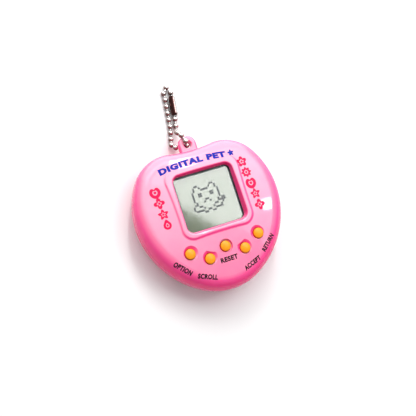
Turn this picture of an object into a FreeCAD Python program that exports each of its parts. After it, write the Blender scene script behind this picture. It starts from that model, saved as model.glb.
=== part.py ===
"""Virtual pet keychain: an egg-shaped pocket toy with a liquid-crystal screen, five keys and a ball chain.

Units are millimetres.  The toy lies on its back: +X is to the right of the screen, +Y points towards the
tab that carries the chain, +Z comes out of the face.  The origin is the centre of the flat back.
"""
import FreeCAD
import Part
import Sketcher
import math
import os
import re
from FreeCAD import Placement, Rotation, Vector

X_AXIS = Vector(1, 0, 0)
Y_AXIS = Vector(0, 1, 0)
Z_AXIS = Vector(0, 0, 1)
ORIGIN = Vector(0, 0, 0)

# Driving dimensions, all in millimetres and degrees.
SIZES = {
    # case outline: tangent arcs from the bottom round to the notch, each to a direction of its normal
    "bottom_reach": 25.74, "bottom_radius": 21.0, "bottom_turn": -61.0,
    "flank_radius": 32.0, "flank_turn": -13.0,
    "side_radius": 28.0, "side_turn": 34.0,
    "lobe_radius": 14.0, "lobe_turn": 100.0,
    # case section
    "case_thickness": 15.5, "split_level": 7.8, "wall": 1.6,
    "dome_radius": 160.0, "dome_y": 2.0, "front_round": 5.4, "back_round": 6.0,
    "seam_depth": 0.15, "seam_height": 0.24,
    # hanging tab
    "tab_y": 27.3, "tab_root_y": 23.8, "tab_half_width": 3.2, "tab_leaf": 1.5, "tab_round": 0.8,
    "tab_hole_radius": 1.35, "tab_hole_chamfer": 0.3,
    # screen opening and the soft bead round it
    "window_y": 6.6, "window_width": 20.6, "window_depth": 19.3, "window_corner": 1.8, "window_taper": 40.0,
    "window_top": 16.2, "window_edge_round": 0.5,
    "bead_rise": 0.45, "bead_round": 0.8, "bead_foot_round": 0.8,
    "bead_base": 13.9, "bead_taper": 45.0, "bead_width": 28.6, "bead_depth": 27.3, "bead_corner": 5.4,
    # lens seat, lens and display stack
    "seat_width": 26.6, "seat_depth": 25.4, "seat_corner": 2.5, "seat_floor": 12.4, "seat_roof": 13.9,
    "lens_width": 23.6, "lens_depth": 22.4, "lens_corner": 1.2, "lens_thickness": 0.8, "lens_level": 12.5,
    "pocket_width": 23.9, "pocket_depth": 22.7,
    "glass_width": 24.0, "glass_depth": 22.6, "glass_thickness": 1.8, "glass_level": 10.5,
    "reflector_width": 21.0, "reflector_depth": 17.4, "reflector_thickness": 0.2,
    "frame_width": 27.0, "frame_depth": 25.6, "frame_corner": 1.6, "frame_play": 0.15,
    "zebra_length": 22.0, "zebra_width": 1.8, "zebra_offset": 10.3,
    # circuit board and what is soldered to it
    "board_inset": 2.6, "board_level": 7.8, "board_thickness": 1.0, "board_hole_radius": 1.15,
    "blob_radius": 4.2, "blob_height": 1.3, "blob_x": 9.0, "blob_y": -9.0,
    "crystal_radius": 1.0, "crystal_length": 6.0, "crystal_x": -12.0, "crystal_y": -8.5,
    "capacitor_radius": 1.5, "capacitor_height": 3.0, "capacitor_x": -17.5, "capacitor_y": -3.0,
    "chip_length": 1.6, "chip_width": 0.8, "chip_height": 0.6, "chip_x": 17.5,
    # keys
    "key_outer_x": 12.8, "key_outer_y": -10.0, "key_inner_x": 6.6, "key_inner_y": -13.5,
    "key_centre_y": -10.9,
    "key_hole_radius": 2.0, "key_sink_radius": 2.5, "key_sink_depth": 0.35, "key_face": 14.5,
    "well_radius": 2.45, "well_floor": 14.1,
    "cap_radius": 1.8, "cap_flange_radius": 2.6, "cap_flange": 0.7, "cap_level": 11.6,
    "cap_height": 3.75, "cap_crown": 0.5, "plunger_radius": 1.0, "plunger_length": 1.75,
    "pill_radius": 0.9, "pill_thickness": 0.4, "pad_radius": 1.6, "pad_thickness": 0.05,
    "sheet_width": 33.0, "sheet_depth": 9.4, "sheet_corner": 1.5, "sheet_y": -11.9, "sheet_thickness": 0.65,
    "skirt_base_radius": 2.45, "skirt_top_radius": 1.75, "skirt_wall": 0.45, "skirt_play": 0.05,
    # case screws
    "screw_upper_x": 18.3, "screw_upper_y": 16.8, "screw_lower_x": 14.2, "screw_lower_y": -16.0,
    "post_radius": 2.3, "screw_radius": 0.95, "screw_clearance": 1.15, "screw_head_radius": 1.8,
    "screw_head_height": 1.3, "screw_seat": 3.4, "screw_length": 8.2, "pilot_spare": 0.3, "sink_radius": 2.0,
    "cross_width": 0.5, "cross_length": 2.2, "cross_depth": 0.7,
    # battery bay, door and cells
    "bay_y": 5.0, "bay_width": 25.2, "bay_depth": 12.4, "bay_roof": 6.9, "bay_wall": 1.0, "bay_top": 7.6,
    "bay_corner": 1.0, "bay_outer_width": 27.2, "bay_outer_depth": 14.4, "bay_outer_corner": 2.0,
    "recess_width": 33.3, "recess_depth": 16.3, "door_ledge": 0.05,
    "frame_pad_height": 2.0, "frame_pad_width": 37.0, "frame_pad_depth": 19.6,
    "door_x": 2.1, "door_width": 33.0, "door_depth": 16.0, "door_corner": 2.2, "door_thickness": 1.1,
    "door_gap": 0.15, "grip_x": -12.4, "grip_length": 6.0, "grip_width": 0.6, "grip_depth": 0.35,
    "door_post": 1.2, "door_post_height": 2.4, "door_post_x": 11.5, "door_post_y": 5.1,
    "door_screw_x": 16.3, "door_screw_length": 4.4, "door_head_height": 0.7, "door_head_radius": 1.6,
    "cell_radius": 5.8, "cell_height": 5.4, "cell_rim": 0.7, "cell_x": 6.1, "cell_level": 1.35,
    "strip_length": 18.0, "strip_width": 5.0, "strip_thickness": 0.2,
    "contact_size": 7.0, "contact_thickness": 0.15,
    # sounder
    "buzzer_y": -13.0, "buzzer_radius": 7.5, "buzzer_thickness": 0.2, "buzzer_level": 2.4,
    "ceramic_radius": 5.5, "ceramic_thickness": 0.2, "ring_wall": 1.3,
    "sound_hole_radius": 0.55, "sound_ring_radius": 2.6,
    "lead_radius": 0.45, "lead_x": 3.0, "lead_bend": 3.2, "lead_run": 3.6,
    # ball chain
    "ball_radius": 1.0, "pin_radius": 0.28, "pin_gap": 0.02, "chain_heading": -8.0,
    "sleeve_radius": 1.3, "sleeve_bore": 1.05, "sleeve_length": 7.2, "sleeve_end_wall": 0.25,
    "sleeve_mouth": 0.5, "sleeve_slit": 0.5, "sleeve_window": 1.9, "sleeve_nose": 0.7,
    "sleeve_start": 12.65,
}

os.makedirs("parts", exist_ok=True)
doc = FreeCAD.newDocument("virtual_pet_keychain")
sheet = doc.addObject("Spreadsheet::Sheet", "dims")
for row, (alias, number) in enumerate(SIZES.items(), start=1):
    sheet.set(f"A{row}", alias)
    sheet.set(f"B{row}", str(number))
    sheet.setAlias(f"B{row}", alias)
doc.recompute()

PARTS = []


def cells(formula):
    """Turn a formula written with cell names into an expression on the sheet."""
    return re.sub(r"[a-z][a-z_]+", lambda word: f"dims.{word[0]}" if word[0] in SIZES else word[0], formula)


def bind(item, **formulas):
    """Bind properties of an item to the sheet; x, y and z stand for its position."""
    for name, formula in formulas.items():
        target = f".Placement.Base.{name}" if name in ("x", "y", "z") else name
        item.setExpression(target, cells(formula))
    return item


def keep(item, label):
    """Make an item one of the object's sub-parts."""
    item.Label = label
    PARTS.append(item)
    return item


def cylinder(name, radius, height, x="0", y="0", z="0"):
    item = doc.addObject("Part::Cylinder", name)
    return bind(item, Radius=radius, Height=height, x=x, y=y, z=z)


def cone(name, low_radius, high_radius, height, x="0", y="0", z="0"):
    item = doc.addObject("Part::Cone", name)
    return bind(item, Radius1=low_radius, Radius2=high_radius, Height=height, x=x, y=y, z=z)


def block(name, width, depth, height, x="0", y="0", z="0"):
    """A box centred on x and y, standing on z."""
    item = doc.addObject("Part::Box", name)
    return bind(item, Length=width, Width=depth, Height=height,
                x=f"{x} - ({width}) / 2", y=f"{y} - ({depth}) / 2", z=z)


def fuse(name, items):
    item = doc.addObject("Part::MultiFuse", name)
    item.Shapes = items
    return item


def common(name, items):
    item = doc.addObject("Part::MultiCommon", name)
    item.Shapes = items
    return item


def cut(name, base, tools):
    """Take one or more tools away from a base."""
    item = doc.addObject("Part::Cut", name)
    item.Base = base
    item.Tool = tools[0] if len(tools) == 1 else fuse(f"{name}_tools", tools)
    return item


def group(name, items):
    item = doc.addObject("Part::Compound", name)
    item.Links = items
    return item


def plane_of(body, role):
    return next(feature for feature in body.Origin.OriginFeatures if feature.Role == role)


def new_body(name):
    return doc.addObject("PartDesign::Body", name)


def new_sketch(body, name, role="XY_Plane"):
    sketch = body.newObject("Sketcher::SketchObject", name)
    sketch.AttachmentSupport = (plane_of(body, role), "")
    sketch.MapMode = "FlatFace"
    return sketch


def constrain(sketch, kind, *details):
    return sketch.addConstraint(Sketcher.Constraint(kind, *details))


def direction(turn):
    return Vector(math.cos(math.radians(turn)), math.sin(math.radians(turn)), 0)


def arc_edge(centre, radius, start_turn, end_turn):
    circle = Part.Circle(centre, Z_AXIS, radius)
    return Part.ArcOfCircle(circle, math.radians(start_turn), math.radians(end_turn))


def outline_arcs(inset):
    """The closed case outline as tangent arcs, counter-clockwise from the bottom, moved in by inset."""
    turns = [-90.0, SIZES["bottom_turn"], SIZES["flank_turn"], SIZES["side_turn"], SIZES["lobe_turn"]]
    radii = [SIZES["bottom_radius"], SIZES["flank_radius"], SIZES["side_radius"], SIZES["lobe_radius"]]
    centre = Vector(0, radii[0] - SIZES["bottom_reach"], 0)
    right = []
    for radius, after, start, end in zip(radii, radii[1:] + [0.0], turns, turns[1:]):
        right.append((centre, radius - inset, start, end))
        centre = centre + direction(end) * (radius - after)
    lobe_end = centre
    notch_turn = SIZES["lobe_turn"]
    notch_radius = -lobe_end.x / math.cos(math.radians(notch_turn))
    notch_centre = lobe_end + direction(notch_turn) * notch_radius
    notch = (notch_centre, notch_radius + inset, 360 - notch_turn, 180 + notch_turn)
    bottom_centre, bottom_radius, _, bottom_end = right[0]
    arcs = [(bottom_centre, bottom_radius, -180 - bottom_end, bottom_end)] + right[1:] + [notch]
    for centre, radius, start, end in reversed(right[1:]):
        arcs.append((Vector(-centre.x, centre.y, 0), radius, 180 - end, 180 - start))
    return arcs


def outline_sketch(body, name, inset):
    """Draw the case outline, its arcs tangent end to end."""
    sketch = new_sketch(body, name)
    arcs = outline_arcs(inset)
    ids = [sketch.addGeometry(arc_edge(*arc), False) for arc in arcs]
    notch = len(arcs) // 2
    for position, current in enumerate(ids):
        following = ids[(position + 1) % len(ids)]
        current_end = 1 if position == notch else 2
        following_start = 2 if (position + 1) % len(ids) == notch else 1
        constrain(sketch, "Coincident", current, current_end, following, following_start)
    return sketch


def edges_in_band(shape, low, high):
    """Names of the edges that lie wholly between two levels."""
    names = []
    for number, edge in enumerate(shape.Edges, start=1):
        if edge.BoundBox.ZMin > low and edge.BoundBox.ZMax < high:
            names.append(f"Edge{number}")
    return names


def round_edges(body, name, low, high, radius):
    """Fillet the edges of a body's tip between two levels."""
    doc.recompute()
    base = body.Tip
    fillet = body.newObject("PartDesign::Fillet", name)
    fillet.Base = (base, edges_in_band(base.Shape, low, high))
    return bind(fillet, Radius=radius)


def dome_cut(body, name, radius, crown, y):
    """Trim a body to the inside of a large sphere whose top is at the crown level above y."""
    reach = 40.0
    half_angle = math.degrees(math.asin(reach / radius))
    rim = crown - radius * (1 - math.cos(math.radians(half_angle)))
    profile = new_sketch(body, f"{name}_profile", "YZ_Plane")
    profile.addGeometry(arc_edge(Vector(y, crown - radius, 0), radius, 90 - half_angle, 90), False)
    corners = [Vector(y + reach, rim, 0), Vector(y + reach, 2 * crown, 0), Vector(y, 2 * crown, 0),
               Vector(y, crown, 0)]
    for start, end in zip(corners, corners[1:]):
        profile.addGeometry(Part.LineSegment(start, end), False)
    profile.addGeometry(Part.LineSegment(Vector(y, 0, 0), Vector(y, 2 * crown, 0)), True)
    dome = body.newObject("PartDesign::Groove", name)
    dome.Profile = profile
    dome.ReferenceAxis = (profile, ["Axis0"])
    dome.Angle = 360


def case_envelope(name, inset):
    """The solid pillow form of the case: a padded outline, domed in front, with rounded rims."""
    body = new_body(name)
    step = SIZES["wall"] * inset
    pad = body.newObject("PartDesign::Pad", f"{name}_pad")
    pad.Profile = outline_sketch(body, f"{name}_outline", step)
    bind(pad, Length=f"case_thickness - 2 * wall * {inset}")
    crown = SIZES["case_thickness"] - 2 * step
    dome_cut(body, f"{name}_dome", SIZES["dome_radius"] - step, crown, SIZES["dome_y"])
    round_edges(body, f"{name}_front_round", 0.7 * crown, 0.97 * crown, f"front_round - wall * {inset}")
    round_edges(body, f"{name}_back_round", -0.1, 0.1, f"back_round - wall * {inset}")
    return bind(body, z=f"wall * {inset}")


def rounded_rectangle(body, name, width, depth, corner):
    """A rounded rectangle centred on the sketch origin, its sizes bound to the sheet."""
    sketch = new_sketch(body, name)
    half_width, half_depth, radius = SIZES[width] / 2, SIZES[depth] / 2, SIZES[corner]
    across, up = half_width - radius, half_depth - radius
    centres = [(across, -up, 270), (across, up, 0), (-across, up, 90), (-across, -up, 180)]
    arcs = []
    for x, y, turn in centres:
        arcs.append(sketch.addGeometry(arc_edge(Vector(x, y, 0), radius, turn, turn + 90), False))
    sides = []
    for current, following in zip(arcs, arcs[1:] + arcs[:1]):
        start = sketch.getPoint(current, 2)
        end = sketch.getPoint(following, 1)
        sides.append(sketch.addGeometry(Part.LineSegment(start, end), False))
        constrain(sketch, "Tangent", current, 2, sides[-1], 1)
        constrain(sketch, "Tangent", sides[-1], 2, following, 1)
    constrain(sketch, "Vertical", sides[0])
    constrain(sketch, "Horizontal", sides[1])
    for follower in arcs[1:]:
        constrain(sketch, "Equal", arcs[0], follower)
    constrain(sketch, "Symmetric", arcs[0], 3, arcs[2], 3, -1, 1)
    bound = [("Radius", (arcs[0], radius), corner),
             ("DistanceX", (arcs[2], 3, arcs[0], 3, 2 * across), f"{width} - 2 * {corner}"),
             ("DistanceY", (arcs[0], 3, arcs[1], 3, 2 * up), f"{depth} - 2 * {corner}")]
    for kind, details, formula in bound:
        number = constrain(sketch, kind, *details)
        sketch.setExpression(f"Constraints[{number}]", cells(formula))
    return sketch


def rounded_plate(name, width, depth, corner, thickness, x="0", y="0", z="0", taper="0"):
    """A rounded-rectangle plate, its sides leaning out by the taper angle."""
    body = new_body(name)
    pad = body.newObject("PartDesign::Pad", f"{name}_pad")
    pad.Profile = rounded_rectangle(body, f"{name}_sketch", width, depth, corner)
    bind(pad, Length=thickness, TaperAngle=taper)
    return bind(body, x=x, y=y, z=z)


def turned(name, profile, x="0", y="0", z="0"):
    """A body of revolution about its own Z axis, from the radius and height of each corner."""
    body = new_body(name)
    sketch = new_sketch(body, f"{name}_profile", "XZ_Plane")
    corners = [Vector(radius, height, 0) for radius, height in profile]
    for start, end in zip(corners, corners[1:] + corners[:1]):
        sketch.addGeometry(Part.LineSegment(start, end), False)
    spin = body.newObject("PartDesign::Revolution", f"{name}_turn")
    spin.Profile = sketch
    spin.ReferenceAxis = (sketch, ["V_Axis"])
    spin.Angle = 360
    return bind(body, x=x, y=y, z=z)


def formed(name, shape):
    """A piece whose shape comes straight from Part's own functions."""
    item = doc.addObject("Part::Feature", name)
    item.Shape = shape
    return item


# Where the keys and the case screws stand.
KEYS = {
    "option": ("-key_outer_x", "key_outer_y"),
    "scroll": ("-key_inner_x", "key_inner_y"),
    "reset": ("0", "key_centre_y"),
    "accept": ("key_inner_x", "key_inner_y"),
    "return": ("key_outer_x", "key_outer_y"),
}
SCREWS = {
    "upper_left": ("-screw_upper_x", "screw_upper_y"),
    "upper_right": ("screw_upper_x", "screw_upper_y"),
    "lower_left": ("-screw_lower_x", "screw_lower_y"),
    "lower_right": ("screw_lower_x", "screw_lower_y"),
}
BOARD_TOP = "board_level + board_thickness"


# ---- Case forms: one hollow pillow, parted at the split level ----
outer_form = case_envelope("outer_form", 0)
inner_form = case_envelope("inner_form", 1)
case_skin = cut("case_skin", outer_form, [inner_form])
upper_space = block("upper_space", "4 * case_thickness", "4 * case_thickness", "case_thickness",
                    z="split_level")
lower_space = block("lower_space", "4 * case_thickness", "4 * case_thickness", "split_level")


def outline_plate(name, inset, thickness, z):
    """A flat plate of the case outline, moved in by inset."""
    body = new_body(name)
    pad = body.newObject("PartDesign::Pad", f"{name}_pad")
    pad.Profile = outline_sketch(body, f"{name}_outline", inset)
    bind(pad, Length=thickness)
    return bind(body, z=z)


def seam_ring():
    """The fine groove that runs round the case where its two covers meet, apart from the tab's root."""
    depth = SIZES["seam_depth"]
    level = "split_level - seam_height / 2"
    wide = outline_plate("seam_outer", -depth, "seam_height", level)
    narrow = outline_plate("seam_inner", depth, "seam_height", level)
    root = block("seam_gap", "2 * tab_half_width", "case_thickness", "seam_height", "0", "tab_y", level)
    return cut("seam_ring", wide, [narrow, root])


def tab_leaf(name, level, rounded_low):
    """Half of the hanging tab: a tongue with a round end."""
    body = new_body(name)
    sketch = new_sketch(body, f"{name}_sketch")
    half, reach = SIZES["tab_half_width"], SIZES["tab_y"] - SIZES["tab_root_y"]
    end = sketch.addGeometry(arc_edge(ORIGIN, half, 0, 180), False)
    corners = [Vector(-half, 0, 0), Vector(-half, -reach, 0), Vector(half, -reach, 0), Vector(half, 0, 0)]
    for start, stop in zip(corners, corners[1:]):
        sketch.addGeometry(Part.LineSegment(start, stop), False)
    radius = constrain(sketch, "Radius", end, half)
    sketch.setExpression(f"Constraints[{radius}]", cells("tab_half_width"))
    pad = body.newObject("PartDesign::Pad", f"{name}_pad")
    pad.Profile = sketch
    bind(pad, Length="tab_leaf")
    middle = 0.0 if rounded_low else SIZES["tab_leaf"]
    round_edges(body, f"{name}_round", middle - 0.01, middle + 0.01, "tab_round")
    return bind(body, y="tab_y", z=level)


def tab_hole(name, level, mouth, mouth_radii):
    """The cutter for the tab's hole, with its chamfered mouth."""
    drill = cylinder(f"{name}_drill", "tab_hole_radius", "2 * tab_leaf", y="tab_y", z=level)
    bevel = cone(f"{name}_bevel", *mouth_radii, "tab_hole_chamfer", y="tab_y", z=mouth)
    return [drill, bevel]


def is_sharp(shape, edge):
    """True where the two faces beside an edge meet at an angle."""
    middle = edge.valueAt((edge.FirstParameter + edge.LastParameter) / 2)
    normals = [face.normalAt(*face.Surface.parameter(middle))
               for face in shape.ancestorsOfType(edge, Part.Face)]
    return len(normals) == 2 and normals[0].getAngle(normals[1]) > 0.1


def sharp_edges_on_dome(shape, rise):
    """Sharp edges that lie on the face's sphere, lifted by rise."""
    centre = Vector(0, SIZES["dome_y"], SIZES["case_thickness"] + rise - SIZES["dome_radius"])
    found = []
    for number, edge in enumerate(shape.Edges, start=1):
        middle = edge.valueAt((edge.FirstParameter + edge.LastParameter) / 2)
        on_dome = abs(middle.distanceToPoint(centre) - SIZES["dome_radius"]) < 0.001
        if on_dome and is_sharp(shape, edge):
            found.append(number)
    return found


def soften(name, base, rise, radius):
    """Fillet the sharp edges on the face's sphere, lifted by rise."""
    doc.recompute()
    item = doc.addObject("Part::Fillet", name)
    item.Base = base
    item.Edges = [(number, SIZES[radius], SIZES[radius])
                  for number in sharp_edges_on_dome(base.Shape, rise)]
    return item


def front_shell(seam):
    """Domed front cover with the screen opening, five key holes, four screw posts and half the tab."""
    seat = rounded_plate("lens_seat", "seat_width", "seat_depth", "seat_corner", "seat_roof - seat_floor",
                         y="window_y", z="seat_floor")
    post_height = f"case_thickness - wall - ({BOARD_TOP})"
    posts = [cylinder(f"front_post_{name}", "post_radius", post_height, x, y, BOARD_TOP)
             for name, (x, y) in SCREWS.items()]
    leaf = tab_leaf("front_tab", "split_level", False)
    posts_inside = common("front_posts", [fuse("front_post_set", posts), outer_form])
    skin = common("front_skin", [case_skin, upper_space])
    blank = fuse("front_blank", [skin, seat, posts_inside, leaf, window_bead()])
    blended = soften("front_blended", blank, 0.0, "bead_foot_round")
    opening = rounded_plate("window_cut", "window_width", "window_depth", "window_corner",
                            "window_top - lens_level", y="window_y", z="lens_level", taper="window_taper / 2")
    pocket = rounded_plate("lens_pocket", "pocket_width", "pocket_depth", "lens_corner",
                           "lens_level + lens_thickness - seat_floor + 2", y="window_y", z="seat_floor - 2")
    tools = [opening, pocket, seam]
    for name, (x, y) in KEYS.items():
        tools.append(cylinder(f"key_hole_{name}", "key_hole_radius", "case_thickness", x, y, BOARD_TOP))
        if name != "reset":
            tools.append(cone(f"key_sink_{name}", "key_hole_radius", "2 * key_sink_radius - key_hole_radius",
                              "2 * key_sink_depth", x, y, "key_face - key_sink_depth"))
    x, y = KEYS["reset"]
    tools.append(cylinder("reset_well", "well_radius", "case_thickness", x, y, "well_floor"))
    pilot_length = "screw_seat + screw_length + pilot_spare - split_level"
    for name, (x, y) in SCREWS.items():
        tools.append(cylinder(f"pilot_{name}", "screw_radius", pilot_length, x, y, "split_level"))
    tools += tab_hole("front_tab_hole", "split_level", "split_level + tab_leaf - tab_hole_chamfer",
                      ("tab_hole_radius", "tab_hole_radius + tab_hole_chamfer"))
    cover = cut("front_cut", blended, tools)
    keep(soften("front_cover", cover, SIZES["bead_rise"], "window_edge_round"), "front_shell")


def window_bead():
    """The soft raised frame round the screen opening, a step above the dome, with sloping sides."""
    body = rounded_plate("window_bead", "bead_width", "bead_depth", "bead_corner",
                         "case_thickness - bead_base + 1", y="window_y", z="bead_base", taper="-bead_taper")
    crown = SIZES["case_thickness"] + SIZES["bead_rise"] - SIZES["bead_base"]
    dome_cut(body, "window_bead_dome", SIZES["dome_radius"], crown, SIZES["dome_y"] - SIZES["window_y"])
    round_edges(body, "window_bead_round", 0.2 * crown, crown - 0.02, "bead_round")
    return body


def rear_shell(seam):
    """Flat-backed cover with the battery bay, four screw posts, the sounder's seat and half the tab."""
    skin = common("rear_skin", [case_skin, lower_space])
    posts = [cylinder(f"rear_post_{name}", "post_radius + 0.3", "split_level", x, y)
             for name, (x, y) in SCREWS.items()]
    door_post = cylinder("door_screw_post", "post_radius", "bay_top", "door_screw_x", "bay_y")
    bay = rounded_plate("bay_block", "bay_outer_width", "bay_outer_depth", "bay_outer_corner", "bay_top",
                        y="bay_y")
    pad = rounded_plate("door_pad", "frame_pad_width", "frame_pad_depth", "door_corner", "frame_pad_height",
                        x="door_x", y="bay_y")
    seat = cylinder("sounder_seat", "buzzer_radius + ring_wall / 2", "buzzer_level", y="buzzer_y")
    inside = common("rear_inside", [fuse("rear_features", posts + [door_post, bay, pad, seat]), outer_form])
    blank = fuse("rear_blank", [skin, inside, tab_leaf("rear_tab", "split_level - tab_leaf", True)])
    tools = [
        seam,
        rounded_plate("bay_cut", "bay_width", "bay_depth", "bay_corner", "bay_roof + 1", y="bay_y", z="-1"),
        rounded_plate("door_recess", "recess_width", "recess_depth", "door_corner",
                      "door_thickness + door_ledge + 1", x="door_x", y="bay_y", z="-1"),
        cylinder("door_pilot", "screw_radius", "door_screw_length + 1.5", "door_screw_x", "bay_y"),
        cylinder("sounder_chamber", "buzzer_radius - ring_wall / 2", "buzzer_level", y="buzzer_y", z="wall"),
        cylinder("sound_hole_middle", "sound_hole_radius", "3 * wall", y="buzzer_y", z="-wall"),
    ]
    for number in range(6):
        across = f"sound_ring_radius * cos({60 * number} deg)"
        along = f"buzzer_y + sound_ring_radius * sin({60 * number} deg)"
        name = f"sound_hole_{number}"
        tools.append(cylinder(name, "sound_hole_radius", "3 * wall", across, along, "-wall"))
    for name, (x, y) in SCREWS.items():
        tools.append(cylinder(f"screw_sink_{name}", "sink_radius", "screw_seat + 1", x, y, "-1"))
        tools.append(cylinder(f"screw_pass_{name}", "screw_clearance", "case_thickness", x, y))
    tools += tab_hole("rear_tab_hole", "split_level - 2 * tab_leaf", "split_level - tab_leaf",
                      ("tab_hole_radius + tab_hole_chamfer", "tab_hole_radius"))
    keep(cut("rear_shell", blank, tools), "rear_shell")


def screw(name, label_parts, head_radius, head_height, length, head_level):
    """A screw with a pan head and a cross recess, its head down, at each of the named places."""
    screws = []
    head_foot = f"{head_level} - {head_height}"
    for place, (x, y) in label_parts.items():
        head = cylinder(f"{name}_head_{place}", head_radius, head_height, x, y, head_foot)
        shank = cylinder(f"{name}_shank_{place}", "screw_radius", length, x, y, head_level)
        bar = block(f"{name}_bar_{place}", "cross_length", "cross_width", "cross_depth", x, y, head_foot)
        stile = block(f"{name}_stile_{place}", "cross_width", "cross_length", "cross_depth", x, y, head_foot)
        screws.append(cut(f"{name}_{place}", fuse(f"{name}_blank_{place}", [head, shank]), [bar, stile]))
    return screws


def fasteners():
    case_set = screw("case_screw", SCREWS, "screw_head_radius", "screw_head_height", "screw_length",
                     "screw_seat")
    keep(group("case_screws", case_set), "case_screws")
    door_place = {"door": ("door_screw_x", "bay_y")}
    door_set = screw("door_screw", door_place, "door_head_radius", "door_head_height", "door_screw_length",
                     "door_head_height")
    keep(door_set[0], "door_screw")


def battery_door():
    """Flush door with four corner posts that locate it in the bay, and the strip that bridges the cells."""
    plate = rounded_plate("door_plate", "door_width", "door_depth", "door_corner", "door_thickness",
                          x="door_x", y="bay_y")
    posts = []
    for number, (x_side, y_side) in enumerate([(-1, -1), (1, -1), (1, 1), (-1, 1)]):
        posts.append(block(f"door_post_{number}", "door_post", "door_post", "door_post_height",
                           f"{x_side} * door_post_x", f"bay_y + {y_side} * door_post_y"))
    tools = [
        cylinder("door_sink", "door_head_radius + door_gap / 3", "door_head_height", "door_screw_x", "bay_y"),
        cylinder("door_pass", "screw_clearance", "door_thickness", "door_screw_x", "bay_y"),
    ]
    for number in range(4):
        tools.append(block(f"door_grip_{number}", "grip_width", "grip_length", "2 * grip_depth",
                           f"grip_x + {number} * 2 * grip_width", "bay_y", "-grip_depth"))
    keep(cut("battery_door", fuse("door_blank", [plate] + posts), tools), "battery_door")
    strip = block("door_bridge", "strip_length", "strip_width", "strip_thickness", "0", "bay_y",
                  "door_thickness")
    keep(strip, "door_bridge_strip")


def coin_cell(name, x):
    """A button cell: a wide can with a narrower cap on its upper side."""
    can = cylinder(f"{name}_can", "cell_radius", "cell_height - cell_rim", x, "bay_y", "cell_level")
    cap_foot = "cell_level + cell_height - cell_rim"
    cap = cylinder(f"{name}_cap", "cell_radius - 1", "cell_rim", x, "bay_y", cap_foot)
    keep(fuse(name, [can, cap]), name)


def power():
    coin_cell("cell_left", "-cell_x")
    coin_cell("cell_right", "cell_x")
    plate = block("contact_plate", "contact_size", "contact_size", "contact_thickness", "-cell_x", "bay_y",
                  "bay_roof - contact_thickness")
    keep(plate, "contact_positive")
    disc = cylinder("contact_disc", "contact_size / 2", "contact_thickness", "cell_x", "bay_y",
                    "bay_roof - contact_thickness")
    hole = cylinder("contact_eye", "contact_size / 5", "contact_thickness", "cell_x", "bay_y",
                    "bay_roof - contact_thickness")
    keep(cut("contact_ring", disc, [hole]), "contact_negative")


def sounder():
    """A piezo disc on its seat and its two leads up to the board."""
    disc = cylinder("buzzer_plate", "buzzer_radius", "buzzer_thickness", y="buzzer_y", z="buzzer_level")
    keep(disc, "buzzer_disc")
    ceramic_level = "buzzer_level + buzzer_thickness"
    keep(cylinder("buzzer_crystal", "ceramic_radius", "ceramic_thickness", y="buzzer_y", z=ceramic_level),
         "buzzer_ceramic")
    radius, bend, run = SIZES["lead_radius"], SIZES["lead_bend"], SIZES["lead_run"]
    start_level = SIZES["buzzer_level"] + SIZES["buzzer_thickness"] + SIZES["ceramic_thickness"] + radius
    leads = []
    for x in (-SIZES["lead_x"], SIZES["lead_x"]):
        start = Vector(x, SIZES["buzzer_y"], start_level)
        bend_start = start + Y_AXIS * run
        half_turn = math.pi / 4
        bend_middle = bend_start + Vector(0, bend * math.sin(half_turn), bend * (1 - math.cos(half_turn)))
        bend_end = bend_start + Vector(0, bend, bend)
        finish = Vector(x, bend_end.y, SIZES["board_level"])
        edges = [Part.LineSegment(start, bend_start).toShape(),
                 Part.Arc(bend_start, bend_middle, bend_end).toShape(),
                 Part.LineSegment(bend_end, finish).toShape()]
        section = Part.Wire([Part.Circle(start, Y_AXIS, radius).toShape()])
        leads.append(Part.Wire(edges).makePipeShell([section], True, True))
    keep(formed("buzzer_lead_pair", Part.makeCompound(leads)), "buzzer_leads")


def display():
    """Lens, liquid-crystal glass with its backing, holder and the two elastomer connector strips."""
    keep(rounded_plate("lens", "lens_width", "lens_depth", "lens_corner", "lens_thickness", y="window_y",
                       z="lens_level"), "lcd_lens")
    keep(block("glass", "glass_width", "glass_depth", "glass_thickness", "0", "window_y", "glass_level"),
         "lcd_glass")
    keep(block("reflector", "reflector_width", "reflector_depth", "reflector_thickness", "0", "window_y",
               "glass_level - reflector_thickness"), "lcd_reflector")
    rim = rounded_plate("holder_rim", "frame_width", "frame_depth", "frame_corner",
                        f"glass_level + glass_thickness - ({BOARD_TOP})", y="window_y", z=BOARD_TOP)
    room = block("holder_room", "glass_width + 2 * frame_play", "glass_depth + 2 * frame_play",
                 "case_thickness", "0", "window_y", BOARD_TOP)
    keep(cut("holder", rim, [room]), "lcd_holder")
    for name, side in (("upper", 1), ("lower", -1)):
        keep(block(f"zebra_{name}", "zebra_length", "zebra_width", f"glass_level - ({BOARD_TOP})", "0",
                   f"window_y + {side} * zebra_offset", BOARD_TOP), f"connector_strip_{name}")


def board():
    """The circuit board follows the case outline and is drilled for the four case screws."""
    body = outline_plate("board_blank", SIZES["board_inset"], "board_thickness", "board_level")
    drills = [cylinder(f"board_hole_{name}", "board_hole_radius", "case_thickness", x, y)
              for name, (x, y) in SCREWS.items()]
    keep(cut("board", body, drills), "circuit_board")
    pads = [cylinder(f"key_pad_{name}", "pad_radius", "pad_thickness", x, y, BOARD_TOP)
            for name, (x, y) in KEYS.items()]
    keep(group("key_pads", pads), "key_contact_pads")


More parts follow.
